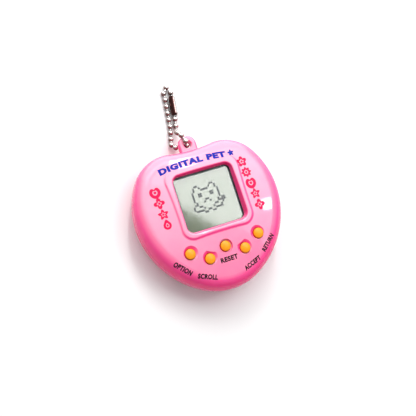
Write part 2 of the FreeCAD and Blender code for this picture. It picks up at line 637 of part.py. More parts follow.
def components():
    """The chip under its drop of resin, the timing crystal, a capacitor and the chip resistors."""
    radius, height = SIZES["blob_radius"], SIZES["blob_height"]
    ball = (radius ** 2 + height ** 2) / (2 * height)
    resin = doc.addObject("Part::Sphere", "resin_ball")
    bind(resin, Radius=str(ball), x="blob_x", y="blob_y", z=f"board_level - blob_height + {ball}")
    below = cylinder("resin_space", "blob_radius + 1", "blob_height", "blob_x", "blob_y",
                     "board_level - blob_height")
    keep(common("resin_drop", [resin, below]), "chip_resin_drop")
    can = cylinder("crystal_can", "crystal_radius", "crystal_length", "crystal_x", "crystal_y",
                   "board_level - crystal_radius")
    can.Placement.Rotation = Rotation(Y_AXIS, 90)
    keep(can, "timing_crystal")
    keep(cylinder("capacitor_can", "capacitor_radius", "capacitor_height", "capacitor_x", "capacitor_y",
                  "board_level - capacitor_height"), "filter_capacitor")
    chips = []
    for side in (-1, 1):
        for number in range(4):
            chips.append(block(f"chip_{number}_{side + 1}", "chip_width", "chip_length", "chip_height",
                               f"{side} * chip_x", f"{3 * number} * chip_width", BOARD_TOP))
    keep(group("chips", chips), "chip_resistors")


def keypad():
    """Silicone sheet with a skirt under each key, the five caps and their carbon pills."""
    blank = rounded_plate("sheet_blank", "sheet_width", "sheet_depth", "sheet_corner", "sheet_thickness",
                          y="sheet_y", z=BOARD_TOP)
    holes = [cylinder(f"sheet_hole_{name}", "skirt_base_radius - skirt_wall", "case_thickness", x, y)
             for name, (x, y) in KEYS.items()]
    for name in ("lower_left", "lower_right"):
        x, y = SCREWS[name]
        holes.append(cylinder(f"sheet_relief_{name}", "post_radius + 0.2", "case_thickness", x, y))
    keep(cut("sheet", blank, holes), "keypad_sheet")
    sheet_top = f"{BOARD_TOP} + sheet_thickness"
    base_level = SIZES["board_level"] + SIZES["board_thickness"] + SIZES["sheet_thickness"]
    rise = SIZES["cap_level"] - SIZES["skirt_play"] - base_level
    low, high, wall = SIZES["skirt_base_radius"], SIZES["skirt_top_radius"], SIZES["skirt_wall"]
    skirt_profile = [(low - wall, 0), (low, 0), (high, rise), (high - wall, rise)]
    for name, (x, y) in KEYS.items():
        keep(turned(f"skirt_{name}", skirt_profile, x, y, sheet_top), f"key_dome_{name}")
        keep(key_cap(name, x, y), f"button_{name}")
        keep(cylinder(f"pill_{name}", "pill_radius", "pill_thickness", x, y,
                      "cap_level - plunger_length - pill_thickness"), f"key_pill_{name}")


def key_cap(name, x, y):
    """One key: a plunger below, a flange that keeps it in the case, and a crowned stem."""
    plunger = cylinder(f"plunger_{name}", "plunger_radius", "plunger_length", x, y,
                       "cap_level - plunger_length")
    flange = cylinder(f"flange_{name}", "cap_flange_radius", "cap_flange", x, y, "cap_level")
    stem = cylinder(f"stem_{name}", "cap_radius", "cap_height", x, y, "cap_level")
    radius, rise = SIZES["cap_radius"], SIZES["cap_crown"]
    ball = (radius ** 2 + rise ** 2) / (2 * rise)
    crown = doc.addObject("Part::Sphere", f"crown_{name}")
    bind(crown, Radius=str(ball), x=x, y=y, z=f"cap_level + cap_height - {ball}")
    return fuse(f"cap_{name}", [plunger, flange, common(f"crowned_{name}", [stem, crown])])


def chain_place():
    """The chain's own frame stands in the tab's hole and is turned to the way the chain lies."""
    return Placement(Vector(0, SIZES["tab_y"], 0), Rotation(Z_AXIS, SIZES["chain_heading"]))


# Ball centres of the chain, in its own frame: x across, y away from the toy, z above what it lies on.
# The first ball hangs in the tab's hole; one strand goes over the tab and one under it.
HOLE_BALL = Vector(0, 0, 7.8)
OVER_STRAND = [Vector(-0.8, 1.1, 10.35), Vector(-1.9, 3.5, 9.75), Vector(-2.3, 4.9, 7.5),
               Vector(-2.0, 5.7, 4.95), Vector(-1.3, 6.5, 2.45)]
UNDER_STRAND = [Vector(-0.9, 0.5, 5.2), Vector(-3.0, 0.5, 3.55), Vector(-3.9, 2.0, 1.6),
                Vector(-3.55, 4.25, 1.0), Vector(-3.25, 6.55, 1.0)]
LIFT_LEFT, LIFT_RIGHT = Vector(-3.05, 8.9, 1.0), Vector(-0.9, 8.9, 1.0)
RUN_LEFT = [Vector(-3.05, 11.35, 1.0), Vector(-3.05, 13.8, 1.0), Vector(-3.05, 16.3, 1.0),
            Vector(-3.05, 18.75, 1.0)]
RUN_RIGHT = Vector(-0.75, 11.4, 1.05)
SLEEVE_BALLS = [Vector(-0.55, 13.95, 1.3), Vector(-0.55, 18.55, 1.3)]
CURL_LEFT, CURL_RIGHT = Vector(-3.25, 21.2, 1.0), Vector(-0.55, 21.2, 1.0)
END_BALL = Vector(-1.9, 23.3, 1.0)


def balls(centres):
    radius = SIZES["ball_radius"]
    return Part.makeCompound([Part.makeSphere(radius, centre) for centre in centres])


def pins(links):
    """Wire pins that reach from ball to ball, just clear of both."""
    stand_off = SIZES["ball_radius"] + SIZES["pin_gap"]
    shapes = []
    for start, end in links:
        along = (end - start).normalize()
        length = (end - start).Length - 2 * stand_off
        shapes.append(Part.makeCylinder(SIZES["pin_radius"], length, start + along * stand_off, along))
    return Part.makeCompound(shapes)


def chained(centres):
    return list(zip(centres, centres[1:]))


def connector_sleeve():
    """A slit tube with turned-in ends and a window, which holds an end ball of the chain in each end."""
    length, outer, bore = SIZES["sleeve_length"], SIZES["sleeve_radius"], SIZES["sleeve_bore"]
    mouth, end_wall, nose = SIZES["sleeve_mouth"], SIZES["sleeve_end_wall"], SIZES["sleeve_nose"]
    nose_radius = outer - nose / 2
    shoulder = bore - 0.15
    profile = [(mouth, 0), (nose_radius, 0), (outer, nose), (outer, length - nose), (nose_radius, length),
               (mouth, length), (mouth, length - end_wall), (shoulder, length - end_wall),
               (bore, length - nose), (bore, nose), (shoulder, end_wall), (mouth, end_wall)]
    wire = Part.makePolygon([Vector(radius, 0, along) for radius, along in profile + profile[:1]])
    tube = Part.Face(wire).revolve(ORIGIN, Z_AXIS, 360)
    slit = Part.makeBox(SIZES["sleeve_slit"], 2 * outer, length, Vector(-SIZES["sleeve_slit"] / 2, 0, 0))
    window = Part.makeCylinder(SIZES["sleeve_window"] / 2, 2 * outer, Vector(0, 0, length / 2), Y_AXIS)
    shape = tube.cut(slit).cut(window)
    start = Vector(SLEEVE_BALLS[0].x, SIZES["sleeve_start"], SLEEVE_BALLS[0].z)
    shape.Placement = Placement(start, Rotation(X_AXIS, -90))
    return shape


def chain():
    left_anchor = [HOLE_BALL] + UNDER_STRAND + [LIFT_LEFT]
    right_anchor = [HOLE_BALL] + OVER_STRAND + [LIFT_RIGHT]
    left_run = [LIFT_LEFT] + RUN_LEFT + [CURL_LEFT]
    right_run = chained([LIFT_RIGHT, RUN_RIGHT, SLEEVE_BALLS[0]]) + [(SLEEVE_BALLS[1], CURL_RIGHT)]
    shapes = {
        "chain_anchor_balls": balls(left_anchor + right_anchor[1:]),
        "chain_anchor_pins": pins(chained(left_anchor) + chained(right_anchor)),
        "chain_run_balls": balls(RUN_LEFT + [RUN_RIGHT, CURL_LEFT, CURL_RIGHT] + SLEEVE_BALLS),
        "chain_run_pins": pins(chained(left_run) + right_run),
        "chain_connector": connector_sleeve(),
        "chain_end_ball": balls([END_BALL]),
        "chain_end_pins": pins([(CURL_LEFT, END_BALL), (END_BALL, CURL_RIGHT)]),
    }
    for name, shape in shapes.items():
        item = formed(f"{name}_form", shape)
        item.Placement = chain_place().multiply(item.Placement)
        keep(item, name)


seam_groove = seam_ring()
front_shell(seam_groove)
rear_shell(seam_groove)
fasteners()
battery_door()
power()
sounder()
display()
board()
components()
keypad()
chain()


def broken_items():
    """Items that FreeCAD left failed, or sub-parts whose shape isn't usable."""
    failed = [item.Name for item in doc.Objects if {"Invalid", "Error"} & set(item.State)]
    unusable = [item.Label for item in PARTS if item.Shape.isNull() or not item.Shape.isValid()]
    return failed + unusable


doc.recompute()
broken = broken_items()
if broken:
    raise RuntimeError(f"not built: {broken}")
for item in PARTS:
    item.Shape.exportStep(f"parts/{item.Label}.step")
    print(item.Label, len(item.Shape.Solids), round(item.Shape.Volume, 2))
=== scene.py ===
import math

import bmesh
import bpy
from mathutils import Euler, Matrix, Vector
from mathutils.bvhtree import BVHTree


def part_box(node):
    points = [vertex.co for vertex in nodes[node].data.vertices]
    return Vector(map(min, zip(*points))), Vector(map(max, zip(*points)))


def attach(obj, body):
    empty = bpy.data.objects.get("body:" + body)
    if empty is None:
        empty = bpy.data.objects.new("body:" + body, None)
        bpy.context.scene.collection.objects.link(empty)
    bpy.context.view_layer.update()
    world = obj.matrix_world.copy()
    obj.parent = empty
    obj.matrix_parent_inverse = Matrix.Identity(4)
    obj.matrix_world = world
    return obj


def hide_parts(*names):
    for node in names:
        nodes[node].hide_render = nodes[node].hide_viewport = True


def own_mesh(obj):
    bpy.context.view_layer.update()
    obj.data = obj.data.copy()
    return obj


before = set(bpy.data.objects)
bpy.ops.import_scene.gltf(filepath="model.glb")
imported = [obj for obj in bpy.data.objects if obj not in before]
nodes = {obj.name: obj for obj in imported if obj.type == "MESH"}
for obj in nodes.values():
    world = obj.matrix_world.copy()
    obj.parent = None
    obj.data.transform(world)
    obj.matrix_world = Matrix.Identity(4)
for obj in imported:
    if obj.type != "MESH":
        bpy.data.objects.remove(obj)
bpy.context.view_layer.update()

MM = 0.001
UP = Vector((0, 0, 1))


# ---- Materials -------------------------------------------------------------------------------------------

EVEN = (1, 1, 1)
# Nearly all of a noise pattern's values lie between these two.
NOISE_SPAN = (0.3, 0.7)
NOISE_DETAIL = 3.0


def linear(red, green, blue):
    """A display colour, 0 to 255, as the linear colour that shader sockets take."""
    shares = [channel / 255 for channel in (red, green, blue)]
    return tuple(s / 12.92 if s <= 0.04045 else ((s + 0.055) / 1.055) ** 2.4 for s in shares) + (1.0,)


def shaded(colour, share):
    """A colour made darker by a share."""
    return tuple(channel * share for channel in colour[:3]) + (1.0,)


def new_material(name, **sockets):
    """A material with one Principled shader, its sockets set by name with _ for a space."""
    material = bpy.data.materials.new(name)
    material.use_nodes = True
    shader = material.node_tree.nodes["Principled BSDF"]
    for socket, value in sockets.items():
        shader.inputs[socket.replace("_", " ")].default_value = value
    return material


def noise(material, grain, stretch=EVEN):
    """A noise pattern fixed to the piece. Grain is the size of its blotches in millimetres."""
    tree = material.node_tree
    place = tree.nodes.new("ShaderNodeTexCoord")
    mapping = tree.nodes.new("ShaderNodeMapping")
    mapping.inputs["Scale"].default_value = stretch
    pattern = tree.nodes.new("ShaderNodeTexNoise")
    pattern.inputs["Scale"].default_value = 1 / (grain * MM)
    pattern.inputs["Detail"].default_value = NOISE_DETAIL
    tree.links.new(place.outputs["Object"], mapping.inputs["Vector"])
    tree.links.new(mapping.outputs["Vector"], pattern.inputs["Vector"])
    return pattern.outputs["Fac"]


def facing(material, toward, blotch=0.08, grain=6.0):
    """How far the surface faces a direction of the piece's own, 0 to 1, broken up a little by blotches."""
    tree = material.node_tree
    place = tree.nodes.new("ShaderNodeTexCoord")
    turned = tree.nodes.new("ShaderNodeVectorMath")
    turned.operation = "DOT_PRODUCT"
    turned.inputs[1].default_value = Vector(toward).normalized()
    share = tree.nodes.new("ShaderNodeMapRange")
    share.inputs["From Min"].default_value = -1.0
    uneven = tree.nodes.new("ShaderNodeMath")
    uneven.operation = "MULTIPLY_ADD"
    uneven.inputs[1].default_value = blotch
    tree.links.new(place.outputs["Normal"], turned.inputs[0])
    tree.links.new(turned.outputs["Value"], share.inputs["Value"])
    tree.links.new(noise(material, grain), uneven.inputs[0])
    tree.links.new(share.outputs["Result"], uneven.inputs[2])
    return uneven.outputs["Value"]


def ramp(material, factor, stops):
    """Turn a pattern into a colour: stops are (place, colour)."""
    node = material.node_tree.nodes.new("ShaderNodeValToRGB")
    while len(node.color_ramp.elements) < len(stops):
        node.color_ramp.elements.new(0.5)
    for element, (place, colour) in zip(node.color_ramp.elements, stops):
        element.position = place
        element.color = colour
    material.node_tree.links.new(factor, node.inputs["Fac"])
    return node.outputs["Color"]


def colour_from(material, colour):
    """Feed a varying colour to the material's base colour."""
    shader = material.node_tree.nodes["Principled BSDF"]
    material.node_tree.links.new(colour, shader.inputs["Base Color"])


def paint(material, grain, dark, light, stretch=EVEN):
    """Vary the base colour between two tones."""
    stops = list(zip(NOISE_SPAN, (dark, light)))
    colour_from(material, ramp(material, noise(material, grain, stretch), stops))


def vary_roughness(material, grain, low, high, stretch=EVEN):
    """Vary the roughness between two values, as handling leaves it."""
    spread = material.node_tree.nodes.new("ShaderNodeMapRange")
    spread.inputs["From Min"].default_value, spread.inputs["From Max"].default_value = NOISE_SPAN
    spread.inputs["To Min"].default_value = low
    spread.inputs["To Max"].default_value = high
    shader = material.node_tree.nodes["Principled BSDF"]
    material.node_tree.links.new(noise(material, grain, stretch), spread.inputs["Value"])
    material.node_tree.links.new(spread.outputs["Result"], shader.inputs["Roughness"])


def roughen(material, layers):
    """Stack bumps: each layer is (grain, depth, stretch), both sizes in millimetres."""
    tree = material.node_tree
    normal = None
    for grain, depth, stretch in layers:
        bump = tree.nodes.new("ShaderNodeBump")
        bump.inputs["Distance"].default_value = depth * MM
        tree.links.new(noise(material, grain, stretch), bump.inputs["Height"])
        if normal is not None:
            tree.links.new(normal, bump.inputs["Normal"])
        normal = bump.outputs["Normal"]
    tree.links.new(normal, tree.nodes["Principled BSDF"].inputs["Normal"])


def moulded_finish(name, roughness, glow=0.0, glow_reach=(1.2, 0.35, 0.5), coat=0.0):
    """Injection-moulded plastic with no colour yet: a faint orange-peel surface and handling marks."""
    material = new_material(name, Subsurface_Weight=glow, Subsurface_Radius=glow_reach, Subsurface_Scale=MM,
                            Coat_Weight=coat, Coat_Roughness=0.03, IOR=1.4)
    vary_roughness(material, 2.5, *roughness)
    roughen(material, [(1.6, 0.0025, EVEN), (0.12, 0.0004, EVEN)])
    return material


def moulded(name, colour, roughness, **finish):
    """Moulded plastic of one slightly uneven colour."""
    material = moulded_finish(name, roughness, **finish)
    paint(material, 6.0, shaded(colour, 0.94), colour)
    return material


def metal_finish(name, roughness, brushed):
    """Bare or plated metal with no colour yet: fine scratches, drawn out along one axis if it is brushed."""
    material = new_material(name, Metallic=1.0)
    vary_roughness(material, 0.5, *roughness, stretch=brushed)
    roughen(material, [(0.15, 0.0015, brushed)])
    return material


def metal(name, colour, roughness, brushed=EVEN):
    """Metal of one slightly uneven colour."""
    material = metal_finish(name, roughness, brushed)
    paint(material, 1.4, shaded(colour, 0.86), colour, stretch=brushed)
    return material


def ink(name, colour):
    """Pad-printed ink: thin, a little uneven, with tiny pinholes in its gloss."""
    material = new_material(name, IOR=1.25)
    paint(material, 0.35, tuple(channel * 0.9 + 0.01 for channel in colour[:3]) + (1.0,), colour)
    vary_roughness(material, 0.3, 0.35, 0.5)
    roughen(material, [(0.1, 0.003, EVEN)])
    return material


def clear_lens():
    """Thin clear acrylic: it lets light straight through and mirrors a little of it, more at a slant."""
    material = new_material("lens_acrylic", Base_Color=(1.0, 1.0, 1.0, 1.0), Roughness=0.02, Metallic=1.0)
    tree = material.node_tree
    through = tree.nodes.new("ShaderNodeBsdfTransparent")
    through.inputs["Color"].default_value = (0.98, 0.985, 0.98, 1.0)
    slant = tree.nodes.new("ShaderNodeLayerWeight")
    slant.inputs["Blend"].default_value = 0.03
    mix = tree.nodes.new("ShaderNodeMixShader")
    tree.links.new(slant.outputs["Facing"], mix.inputs["Fac"])
    tree.links.new(through.outputs["BSDF"], mix.inputs[1])
    tree.links.new(tree.nodes["Principled BSDF"].outputs["BSDF"], mix.inputs[2])
    tree.links.new(mix.outputs["Shader"], tree.nodes["Material Output"].inputs["Surface"])
    return material


def grid(material, pitch, gap, face, other_face, line):
    """A square grid of two close tones with thin lines between; pitch in millimetres, gap a share of it."""
    tree = material.node_tree
    place = tree.nodes.new("ShaderNodeTexCoord")
    cells = tree.nodes.new("ShaderNodeTexBrick")
    cells.offset = 0.0
    cells.inputs["Scale"].default_value = 1 / (pitch * MM)
    cells.inputs["Brick Width"].default_value = 1.0
    cells.inputs["Row Height"].default_value = 1.0
    cells.inputs["Mortar Size"].default_value = gap
    cells.inputs["Color1"].default_value = face
    cells.inputs["Color2"].default_value = other_face
    cells.inputs["Mortar"].default_value = line
    tree.links.new(place.outputs["Object"], cells.inputs["Vector"])
    colour_from(material, cells.outputs["Color"])


def circuit_laminate():
    """Green solder mask over a grid of copper tracks."""
    material = new_material("circuit_laminate", IOR=1.5)
    grid(material, 2.0, 0.08, (0.01, 0.09, 0.035, 1), (0.012, 0.11, 0.04, 1), (0.04, 0.2, 0.07, 1))
    vary_roughness(material, 1.0, 0.28, 0.42)
    roughen(material, [(0.8, 0.004, EVEN)])
    return material


def liquid_crystal():
    """Grey-green display glass under its polarising film; the unlit cells show as a very faint grid."""
    material = new_material("liquid_crystal", IOR=2.5)
    grid(material, CELL / MM, 0.05, (0.10, 0.14, 0.075, 1), (0.097, 0.137, 0.075, 1), (0.085, 0.12, 0.065, 1))
    vary_roughness(material, 3.0, 0.05, 0.08)
    roughen(material, [(0.5, 0.0008, EVEN)])
    return material


def case_plastic():
    """The case's glossy pink, with painted light and shade: palest where it faces up towards the lamps,
    deepest round the rim; its back keeps the plain bright pink.
    """
    material = moulded_finish("pink_plastic", (0.04, 0.08), glow=0.2, coat=0.1)
    # Painted light and shade: the colour follows how far the surface faces towards the lamps.
    painted_light_share = facing(material, (-0.1, 0.45, 0.89), blotch=0.02)
    colour_from(material, ramp(material, painted_light_share, [
        (0.0, BRIGHT_PINK), (0.3, HALF_SHADED_PINK), (0.5, SHADED_PINK), (0.83, HALF_SHADED_PINK), (0.92, BRIGHT_PINK),
        (0.965, LIT_PINK)]))
    return material


def key_plastic():
    """The keys' satin amber, with painted shade: deeper round their sides."""
    material = moulded_finish("amber_plastic", (0.34, 0.46), glow=0.2, glow_reach=(1.0, 0.5, 0.1))
    colour_from(material, ramp(material, facing(material, UP), [(0.55, SHADED_AMBER), (0.9, AMBER)]))
    return material


def plating(name, toward, stops):
    """Bright plating with painted reflection and shade: dark on the sides that face away from a direction, as
    if mirroring dim surroundings.
    """
    material = metal_finish(name, (0.08, 0.18), EVEN)
    colour_from(material, ramp(material, facing(material, toward, blotch=0.1, grain=0.5), stops))
    return material


CELL = 0.72 * MM
# Tones of the case's one pink: BRIGHT_PINK is its own colour, the others are painted light and shade.
LIT_PINK = (0.98, 0.38, 0.53, 1.0)
BRIGHT_PINK = (0.98, 0.21, 0.38, 1.0)
HALF_SHADED_PINK = (0.98, 0.085, 0.31, 1.0)
SHADED_PINK = (0.92, 0.006, 0.17, 1.0)
AMBER = (0.98, 0.33, 0.004, 1.0)
# Painted shade: a deeper tone of the keys' amber for their sides.
SHADED_AMBER = (0.85, 0.14, 0.004, 1.0)
# Tones of the plating: BRIGHT_PLATE is its own colour; the darker ones are painted reflection and shade.
BRIGHT_PLATE = (0.93, 0.92, 0.91, 1.0)
DIM_REFLECTION_PLATE = (0.48, 0.35, 0.33, 1.0)
DARK_REFLECTION_PLATE = (0.16, 0.075, 0.065, 1.0)
BLACK_REFLECTION_PLATE = (0.07, 0.026, 0.024, 1.0)

pink_plastic = case_plastic()
amber_plastic = key_plastic()
black_plastic = moulded("black_plastic", (0.02, 0.02, 0.022, 1.0), roughness=(0.4, 0.55))
silicone = moulded("silicone", (0.62, 0.6, 0.58, 1.0), roughness=(0.5, 0.62), glow=0.3, glow_reach=EVEN)
strip_rubber = moulded("strip_rubber", (0.75, 0.35, 0.42, 1.0), roughness=(0.5, 0.65))
resin = moulded("resin", (0.012, 0.012, 0.013, 1.0), roughness=(0.12, 0.25))
carbon = moulded("carbon", (0.015, 0.015, 0.016, 1.0), roughness=(0.6, 0.8))
ceramic = moulded("ceramic", (0.55, 0.5, 0.42, 1.0), roughness=(0.4, 0.55))
piezo = moulded("piezo", (0.72, 0.7, 0.64, 1.0), roughness=(0.45, 0.6))
sleeve_blue = moulded("sleeve_blue", (0.02, 0.05, 0.3, 1.0), roughness=(0.25, 0.4))
red_sleeve = moulded("red_sleeve", (0.6, 0.02, 0.02, 1.0), roughness=(0.35, 0.5))
# Painted reflection: the chain is dark where it faces away from this direction.
chrome = plating("chain_plating", (0.2, 0.55, 0.8), [
    (0.56, DARK_REFLECTION_PLATE), (0.77, DIM_REFLECTION_PLATE), (0.92, BRIGHT_PLATE)])
# Painted reflection: the sleeve is mostly dark, bright only where it faces this direction.
sleeve_chrome = plating("sleeve_plating", (0.85, 0.15, 0.5), [
    (0.8, BLACK_REFLECTION_PLATE), (0.87, DIM_REFLECTION_PLATE), (0.95, BRIGHT_PLATE)])
steel = metal("steel", (0.62, 0.61, 0.6, 1.0), (0.22, 0.36))
cell_steel = metal("cell_steel", (0.7, 0.69, 0.66, 1.0), (0.14, 0.26), brushed=(1, 8, 1))
contact_steel = metal("contact_steel", (0.72, 0.72, 0.7, 1.0), (0.2, 0.3), brushed=(1, 8, 1))
brass = metal("brass", (0.75, 0.52, 0.2, 1.0), (0.2, 0.34))
foil = metal("foil", (0.6, 0.63, 0.58, 1.0), (0.3, 0.42), brushed=(8, 1, 1))
can_metal = metal("can_metal", (0.66, 0.66, 0.66, 1.0), (0.18, 0.3), brushed=(1, 8, 1))
laminate = circuit_laminate()
lens_acrylic = clear_lens()
display_glass = liquid_crystal()
blue_ink = ink("blue_ink", linear(0, 30, 160))
crimson_ink = ink("crimson_ink", linear(245, 0, 78))
black_ink = ink("black_ink", linear(14, 8, 14))
display_dark = ink("display_dark", (0.07, 0.075, 0.09, 1.0))

SLOT_MATERIALS = {
    "shell_pink": pink_plastic, "key_amber": amber_plastic, "lens_clear": lens_acrylic,
    "lcd_glass": display_glass, "reflector_foil": foil, "holder_black": black_plastic,
    "elastomer": strip_rubber, "board_green": laminate, "resin_black": resin, "component_metal": can_metal,
    "component_ceramic": ceramic, "capacitor_sleeve": sleeve_blue, "carbon": carbon,
    "silicone_sheet": silicone, "buzzer_brass": brass, "buzzer_ceramic": piezo, "lead_sleeve": red_sleeve,
    "cell_steel": cell_steel, "contact_steel": contact_steel, "screw_steel": steel, "chain_chrome": chrome,
}


def dress_nodes():
    """Give every carried-over CAD node the material of its slot, and the chain's sleeve its own plating,
    darker with painted reflection.
    """
    for node in nodes.values():
        for material_slot in node.material_slots:
            material_slot.material = SLOT_MATERIALS[material_slot.material.name.split(".")[0]]
    nodes["chain_connector"].material_slots[0].material = sleeve_chrome


# ---- Making pieces ---------------------------------------------------------------------------------------

def new_piece(name, mesh, material, body, replaced=()):
    """Put a mesh into the scene as a piece that rides on a body."""
    piece = bpy.data.objects.new(name, mesh)
    bpy.context.scene.collection.objects.link(piece)
    mesh.materials.clear()
    mesh.materials.append(material)
    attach(piece, body)
    if replaced:
        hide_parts(*replaced)
    return piece


def to_mesh(name, shape, smooth=True):
    """Turn a bmesh into a finished mesh with its faces looking out."""
    bmesh.ops.recalc_face_normals(shape, faces=shape.faces)
    mesh = bpy.data.meshes.new(name)
    shape.to_mesh(mesh)
    shape.free()
    if smooth:
        mesh.shade_smooth()
        mesh.set_sharp_from_angle(angle=math.radians(38))
    return mesh


def lathe(shape, profile, steps, turn):
    """Spin a closed profile of (radius, height) about Z and add it to a bmesh, moved by turn."""
    rings = []
    angles = [math.tau * step / steps for step in range(steps)]
    for radius, height in profile:
        ring = [Vector((0, 0, height))]
        if radius > 0:
            ring = [Vector((radius * math.cos(angle), radius * math.sin(angle), height)) for angle in angles]
        rings.append([shape.verts.new(turn @ point) for point in ring])
    for low, high in zip(rings, rings[1:] + rings[:1]):
        for step in range(steps):
            following = (step + 1) % steps
            corners = [low[step % len(low)], low[following % len(low)],
                       high[following % len(high)], high[step % len(high)]]
            unique = list(dict.fromkeys(corners))
            if len(unique) > 2:
                shape.faces.new(unique)


def arc(centre, radius, start, end, steps):
    """Points of an arc in a profile, angles in degrees."""
    turns = [math.radians(start + (end - start) * step / steps) for step in range(steps + 1)]
    return [(centre[0] + radius * math.cos(t), centre[1] + radius * math.sin(t)) for t in turns]


def ring_of(shape, outer, inner):
    """Fill the band between two flat outlines of equally many points."""
    outside = [shape.verts.new(point) for point in outer]
    inside = [shape.verts.new(point) for point in inner]
    for step in range(len(outer)):
        shape.faces.new((outside[step - 1], outside[step], inside[step], inside[step - 1]))


def disc_of(shape, outline):
    """Fill a flat outline round its middle."""
    middle = shape.verts.new(sum(outline, Vector()) / len(outline))
    rim = [shape.verts.new(point) for point in outline]
    for step in range(len(rim)):
        shape.faces.new((middle, rim[step - 1], rim[step]))


def thicken(shape, rise):
    """Close a sheet into a thin solid by raising a copy of it."""
    grown = bmesh.ops.extrude_face_region(shape, geom=shape.faces[:], use_keep_orig=True)
    for item in grown["geom"]:
        if isinstance(item, bmesh.types.BMVert):
            item.co.z += rise


def put(shape, x, y, turn):
    """Turn a flat mesh, in degrees, and move it to a place on the face, in millimetres."""
    move = Matrix.Translation((x * MM, y * MM, 0)) @ Matrix.Rotation(math.radians(turn), 4, "Z")
    bmesh.ops.transform(shape, matrix=move, verts=shape.verts)


# ---- Keys ------------------------------------------------------------------------------------------------

KEY_NAMES = ["option", "scroll", "reset", "accept", "return"]
KEY_EDGE = 0.32 * MM
KEY_STEPS = 48
STEM_RADIUS = 1.8 * MM
CROWN_RISE = 0.5 * MM
FLANGE_FOOT = 11.6 * MM
FLANGE_TOP = 12.3 * MM
PLUNGER_RADIUS = 1.0 * MM
SKIRT_WALL = 0.45 * MM
SKIRT_TOP_RADIUS = 1.75 * MM


def key_cap(name):
    """A key turned in one piece: plunger, flange, and a stem with a softly rounded crown."""
    low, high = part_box(f"button_{name}")
    flange = (high.x - low.x) / 2
    ball = (STEM_RADIUS ** 2 + CROWN_RISE ** 2) / (2 * CROWN_RISE)
    ball_centre = high.z - ball
    inset = STEM_RADIUS - KEY_EDGE
    lean = math.degrees(math.asin(inset / (ball - KEY_EDGE)))
    edge_height = ball_centre + math.sqrt((ball - KEY_EDGE) ** 2 - inset ** 2)
    profile = [(0, low.z), (PLUNGER_RADIUS, low.z), (PLUNGER_RADIUS, FLANGE_FOOT), (flange, FLANGE_FOOT),
               (flange, FLANGE_TOP), (STEM_RADIUS, FLANGE_TOP)]
    profile += arc((inset, edge_height), KEY_EDGE, 0, 90 - lean, 6)
    profile += arc((0, ball_centre), ball, 90 - lean, 90, 8)[1:-1]
    profile.append((0, high.z))
    shape = bmesh.new()
    lathe(shape, profile, KEY_STEPS, Matrix.Translation(((low.x + high.x) / 2, (low.y + high.y) / 2, 0)))
    new_piece(f"key_cap_{name}", to_mesh(f"key_cap_{name}", shape), amber_plastic, f"key_{name}",
              [f"button_{name}"])


def key_skirt(name):
    """The silicone skirt under a key."""
    low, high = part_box(f"key_dome_{name}")
    foot = (high.x - low.x) / 2
    waist = foot * 0.25 + SKIRT_TOP_RADIUS * 0.75
    waist_height = low.z * 0.4 + high.z * 0.6
    outside = [(foot, low.z), (waist, waist_height), (SKIRT_TOP_RADIUS, high.z)]
    inside = [(radius - SKIRT_WALL, height) for radius, height in reversed(outside)]
    shape = bmesh.new()
    centre = Vector(((low.x + high.x) / 2, (low.y + high.y) / 2, 0))
    lathe(shape, outside + inside, KEY_STEPS, Matrix.Translation(centre))
    piece = new_piece(f"key_skirt_{name}", to_mesh(f"key_skirt_{name}", shape), silicone, "root",
                      [f"key_dome_{name}"])
    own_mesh(piece)


# ---- Display ---------------------------------------------------------------------------------------------

FILM = 0.012 * MM
BORDER_OUTER = (11.8, 11.0)
BORDER_INNER = (10.1, 9.5)
BORDER_CORNER = 0.6
# Lowering the inside widens the top band, which is painted shade for the rim's shadow.
BORDER_DROP = 0.25
PET_PLACE = (-0.3, 7.1)
PET = (
    "....##......##....",
    "...#..#....#..#...",
    "...#...####...#...",
    "..#............#..",
    "..#..##....##..#..",
    "..#..##....##..#..",
    "..#............#..",
    "..#.....##.....#..",
    "...#...#..#...#.##",
    "..##..........####",
    ".#..##......##..#.",
    ".#....#....#...#..",
    "..####..##..####..",
    "......##..##......",
)


def rounded_outline(half, corner, centre):
    """The points of a rounded rectangle, in millimetres."""
    points = []
    for quarter, (x_side, y_side) in enumerate([(1, 1), (-1, 1), (-1, -1), (1, -1)]):
        middle = (centre[0] + x_side * (half[0] - corner), centre[1] + y_side * (half[1] - corner))
        points += arc(middle, corner, 90 * quarter, 90 * quarter + 90, 6)
    return [Vector((x * MM, y * MM, 0)) for x, y in points]


def show_border(top, centre):
    """The dark frame printed round the display's active field; its inside is set lower, so that it is wider
    at the top, where it also stands in as painted shade for the shadow of the window's rim.
    """
    shape = bmesh.new()
    ring_of(shape, rounded_outline(BORDER_OUTER, BORDER_CORNER, centre),
            rounded_outline(BORDER_INNER, BORDER_CORNER, (centre[0], centre[1] - BORDER_DROP)))
    thicken(shape, FILM)
    bmesh.ops.translate(shape, vec=(0, 0, top), verts=shape.verts)
    new_piece("display_border", to_mesh("display_border", shape, smooth=False), display_dark, "root")


def show_pet(top):
    """A plain pixel creature, one raised film square for every dark cell."""
    shape = bmesh.new()
    for row, line in enumerate(PET):
        for column, mark in enumerate(line):
            if mark == "#":
                across = (column - (len(line) - 1) / 2) * CELL
                up = ((len(PET) - 1) / 2 - row) * CELL
                move = Matrix.Translation((across, up, top + FILM / 2))
                size = Matrix.Diagonal((0.9 * CELL, 0.9 * CELL, FILM, 1))
                bmesh.ops.create_cube(shape, size=1.0, matrix=move @ size)
    put(shape, *PET_PLACE, 0)
    new_piece("display_pet", to_mesh("display_pet", shape, smooth=False), display_dark, "root")


def display():
    """What the display shows: its printed border and the pet."""
    low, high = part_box("lcd_glass")
    show_border(high.z, ((low.x + high.x) / 2 / MM, (low.y + high.y) / 2 / MM))
    show_pet(high.z)


# ---- Printing on the face --------------------------------------------------------------------------------

INK_LIFT = 0.035 * MM
INK_ROOT = 0.03 * MM
CUT_STEP = 0.25 * MM
ABOVE_FACE = 40 * MM

